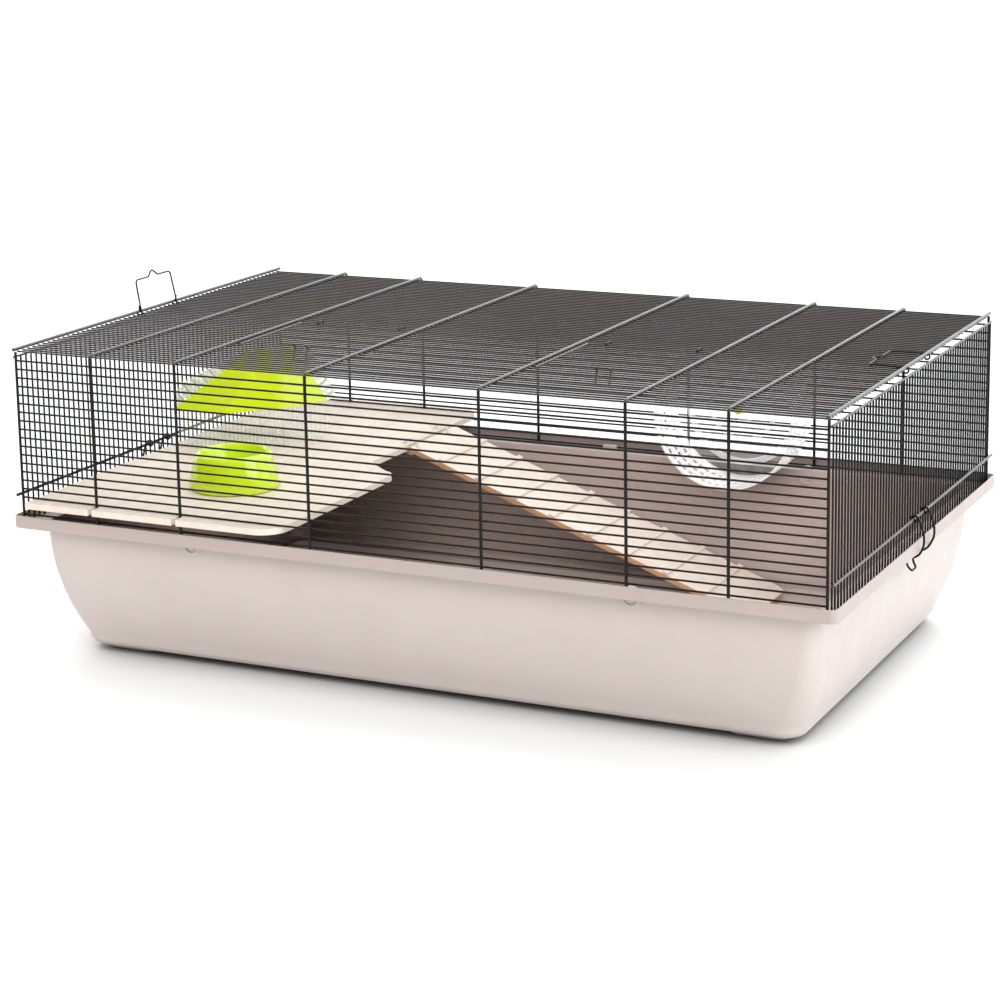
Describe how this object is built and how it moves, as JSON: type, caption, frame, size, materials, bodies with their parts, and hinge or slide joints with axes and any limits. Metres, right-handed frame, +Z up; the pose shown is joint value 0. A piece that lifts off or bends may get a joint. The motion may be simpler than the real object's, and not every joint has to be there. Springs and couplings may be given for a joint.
{
  "type": "hamster cage",
  "caption": "Wide low small-animal cage: deep moulded tub, removable wire top with roof doors, wooden platform and ramp, running wheel, house and bowl.",
  "frame": {"origin": "centre of the footprint, on the plane the feet rest on", "axes": "+Z up, +X along the length to the right as seen from the front, front faces -Y"},
  "size_m": [0.8666, 0.545, 0.3538],
  "materials": {
    "beige_plastic": "injection-moulded, semi-matt",
    "black_coated_wire": "smooth black coating over steel wire",
    "pale_wood": "untreated, sanded",
    "clear_plastic": "clear, glossy",
    "lime_plastic": "glossy, slightly translucent",
    "white_plastic": "glossy"
  },
  "bodies": {
    "cage": {"tub": "beige_plastic", "front_grid": "black_coated_wire", "back_grid": "black_coated_wire", "roof_front": "black_coated_wire", "roof_back": "black_coated_wire", "roof_left": "black_coated_wire", "roof_middle": "black_coated_wire", "roof_right": "black_coated_wire", "left_end_grid": "black_coated_wire", "right_end_grid": "black_coated_wire", "left_low_stay": "black_coated_wire", "right_low_stay": "black_coated_wire", "stay_1": "black_coated_wire", "stay_2": "black_coated_wire", "stay_3": "black_coated_wire", "stay_4": "black_coated_wire", "stay_5": "black_coated_wire", "stay_6": "black_coated_wire", "platform": "pale_wood", "ramp_ring_1": "white_plastic", "ramp_ring_2": "white_plastic", "wheel_bracket": "clear_plastic", "wheel_cap": "lime_plastic"},
    "roof_door_left": {"door_left": "black_coated_wire", "door_left_ring_1": "black_coated_wire", "door_left_ring_2": "black_coated_wire"},
    "roof_door_right": {"door_right": "black_coated_wire", "door_right_ring_1": "black_coated_wire", "door_right_ring_2": "black_coated_wire"},
    "door_latch_left": {"latch_left": "black_coated_wire"},
    "door_latch_right": {"latch_right": "black_coated_wire"},
    "carry_handle_left": {"handle_left": "black_coated_wire"},
    "carry_handle_right": {"handle_right": "black_coated_wire"},
    "end_clip_left": {"clip_left": "black_coated_wire"},
    "end_clip_right": {"clip_right": "black_coated_wire"},
    "ramp_board": {"ramp": "pale_wood", "tread_1": "pale_wood", "tread_2": "pale_wood", "tread_3": "pale_wood", "tread_4": "pale_wood", "tread_5": "pale_wood", "tread_6": "pale_wood", "tread_7": "pale_wood", "tread_8": "pale_wood"},
    "running_wheel": {"wheel": "clear_plastic"},
    "bowl": {"food_bowl": "lime_plastic"},
    "house_base": {"house_walls": "clear_plastic"},
    "house_lid": {"house_roof": "lime_plastic"}
  },
  "joints": [
    {"name": "door_left_hinge", "type": "hinge", "parent": "cage", "child": "roof_door_left", "pos_m": [-0.16075, -0.01287, 0.3123], "axis": [-1, 0, 0], "range_deg": [0, 110]},
    {"name": "latch_left_hinge", "type": "hinge", "parent": "roof_door_left", "child": "door_latch_left", "pos_m": [-0.16075, -0.14162, 0.3123], "axis": [1, 0, 0], "range_deg": [0, 60]},
    {"name": "door_right_hinge", "type": "hinge", "parent": "cage", "child": "roof_door_right", "pos_m": [0.16075, -0.01287, 0.3123], "axis": [-1, 0, 0], "range_deg": [0, 110]},
    {"name": "latch_right_hinge", "type": "hinge", "parent": "roof_door_right", "child": "door_latch_right", "pos_m": [0.16075, -0.14162, 0.3123], "axis": [1, 0, 0], "range_deg": [0, 60]},
    {"name": "handle_left_hinge", "type": "hinge", "parent": "cage", "child": "carry_handle_left", "pos_m": [-0.417, 0, 0.3123], "axis": [0, 1, 0], "range_deg": [-140, 90]},
    {"name": "handle_right_hinge", "type": "hinge", "parent": "cage", "child": "carry_handle_right", "pos_m": [0.417, 0, 0.3123], "axis": [0, 1, 0], "range_deg": [0, 175]},
    {"name": "clip_left_hinge", "type": "hinge", "parent": "cage", "child": "end_clip_left", "pos_m": [-0.4224, 0, 0.1675], "axis": [0, 1, 0], "range_deg": [0, 140]},
    {"name": "clip_right_hinge", "type": "hinge", "parent": "cage", "child": "end_clip_right", "pos_m": [0.4224, 0, 0.1675], "axis": [0, -1, 0], "range_deg": [0, 140]},
    {"name": "ramp_hinge", "type": "hinge", "parent": "cage", "child": "ramp_board", "pos_m": [-0.1655, 0.1335, 0.16114], "axis": [0, -1, 0], "range_deg": [0, 12]},
    {"name": "wheel_spin", "type": "hinge", "parent": "cage", "child": "running_wheel", "pos_m": [0.1615, 0.2, 0.2026], "axis": [0, 1, 0], "continuous": true},
    {"name": "bowl_lift", "type": "slide", "parent": "cage", "child": "bowl", "axis": [0, 0, 1], "range_m": [0, 0.06]},
    {"name": "house_lift", "type": "slide", "parent": "cage", "child": "house_base", "axis": [0, 0, 1], "range_m": [0, 0.02]},
    {"name": "house_roof_lift", "type": "slide", "parent": "house_base", "child": "house_lid", "axis": [0, 0, 1], "range_m": [0, 0.02]}
  ]
}
